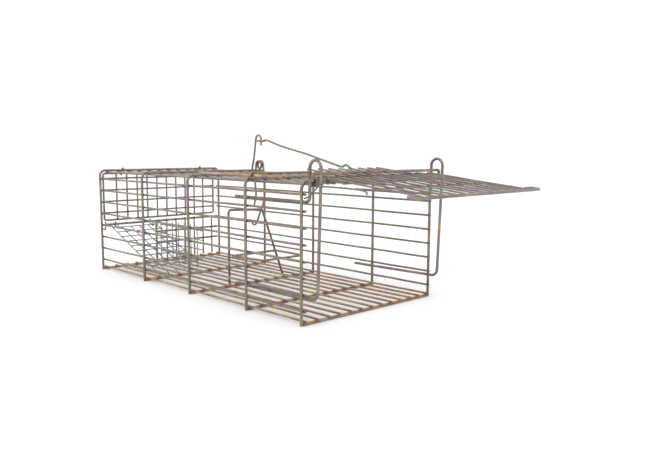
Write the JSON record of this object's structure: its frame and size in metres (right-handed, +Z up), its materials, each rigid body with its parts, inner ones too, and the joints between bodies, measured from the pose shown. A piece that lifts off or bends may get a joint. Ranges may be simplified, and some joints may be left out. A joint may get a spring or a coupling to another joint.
{
  "type": "live catch trap",
  "caption": "Low wire-mesh live catch trap with a drop door held open, a treadle and trip rod, a one-way rear flap and a rear hatch.",
  "frame": {"origin": "middle of the underside of the whole set trap's box, on the surface it stands on", "axes": "+X from the rear hatch towards the drop door, +Y from the near side to the far side, +Z up"},
  "size_m": [0.448, 0.1604, 0.148],
  "materials": {
    "panel": "zinc plated wire with a warm grey passivate",
    "floor": "zinc plated wire with a yellow and pink passivate",
    "door": "zinc plated wire, grey with green and pink tints",
    "heavy": "zinc plated heavy wire, warm brown passivate",
    "trigger": "zinc plated wire, olive grey",
    "fine": "bright galvanised fine wire",
    "spring": "spring steel wire, dark passivate"
  },
  "bodies": {
    "cage": {"floor_mesh": "floor", "near_side_mesh": "panel", "far_side_mesh": "panel", "top_mesh": "panel", "top_stiffener": "floor", "side_clip": "trigger", "rear_lower_mesh": "panel", "tunnel_wall": "fine", "near_guide": "heavy", "far_guide": "heavy", "door_spring": "spring"},
    "door": {"door_mesh": "door", "door_front_bar": "door", "door_ring_near": "door", "door_ring_mid": "door", "door_ring_far": "door"},
    "lock_bar": {"lock_bar": "heavy"},
    "treadle": {"treadle_bail": "trigger", "pedal_frame": "trigger"},
    "lever": {"trigger_lever": "trigger"},
    "rod": {"trip_rod": "trigger"},
    "flap": {"entry_flap": "fine", "flap_ring_near": "fine", "flap_ring_far": "fine"},
    "hatch": {"rear_hatch": "panel", "hatch_pull": "heavy", "hatch_ring_near": "panel", "hatch_ring_far": "panel"}
  },
  "joints": [
    {"name": "door_hinge", "type": "hinge", "parent": "cage", "child": "door", "pos_m": [0.11574, 0, 0.1096], "axis": [0, 1, 0], "range_deg": [0, 82], "deforming": ["door_spring"]},
    {"name": "lock_bar_lift", "type": "slide", "parent": "cage", "child": "lock_bar", "axis": [0, 0, 1], "range_m": [0, 0.006]},
    {"name": "treadle_tilt", "type": "hinge", "parent": "cage", "child": "treadle", "pos_m": [-0.03886, 0, 0.00125], "axis": [0, 1, 0], "range_deg": [0, 16]},
    {"name": "lever_swing", "type": "hinge", "parent": "cage", "child": "lever", "pos_m": [-0.03886, 0, 0.1096], "axis": [0, 1, 0], "range_deg": [-30, 0]},
    {"name": "rod_swing", "type": "hinge", "parent": "lever", "child": "rod", "pos_m": [-0.02966, 0, 0.1415], "axis": [0, 1, 0], "range_deg": [0, 30]},
    {"name": "flap_swing", "type": "hinge", "parent": "cage", "child": "flap", "pos_m": [-0.21426, -0.04, 0.0495], "axis": [0, 1, 0], "range_deg": [-35, 0]},
    {"name": "hatch_swing", "type": "hinge", "parent": "cage", "child": "hatch", "pos_m": [-0.21426, 0, 0.1096], "axis": [0, 1, 0], "range_deg": [0, 100]}
  ],
  "couplings": [
    {"joint": "lever_swing", "follows": "treadle_tilt", "ratio": -1.8},
    {"joint": "rod_swing", "follows": "treadle_tilt", "ratio": 1.8}
  ]
}
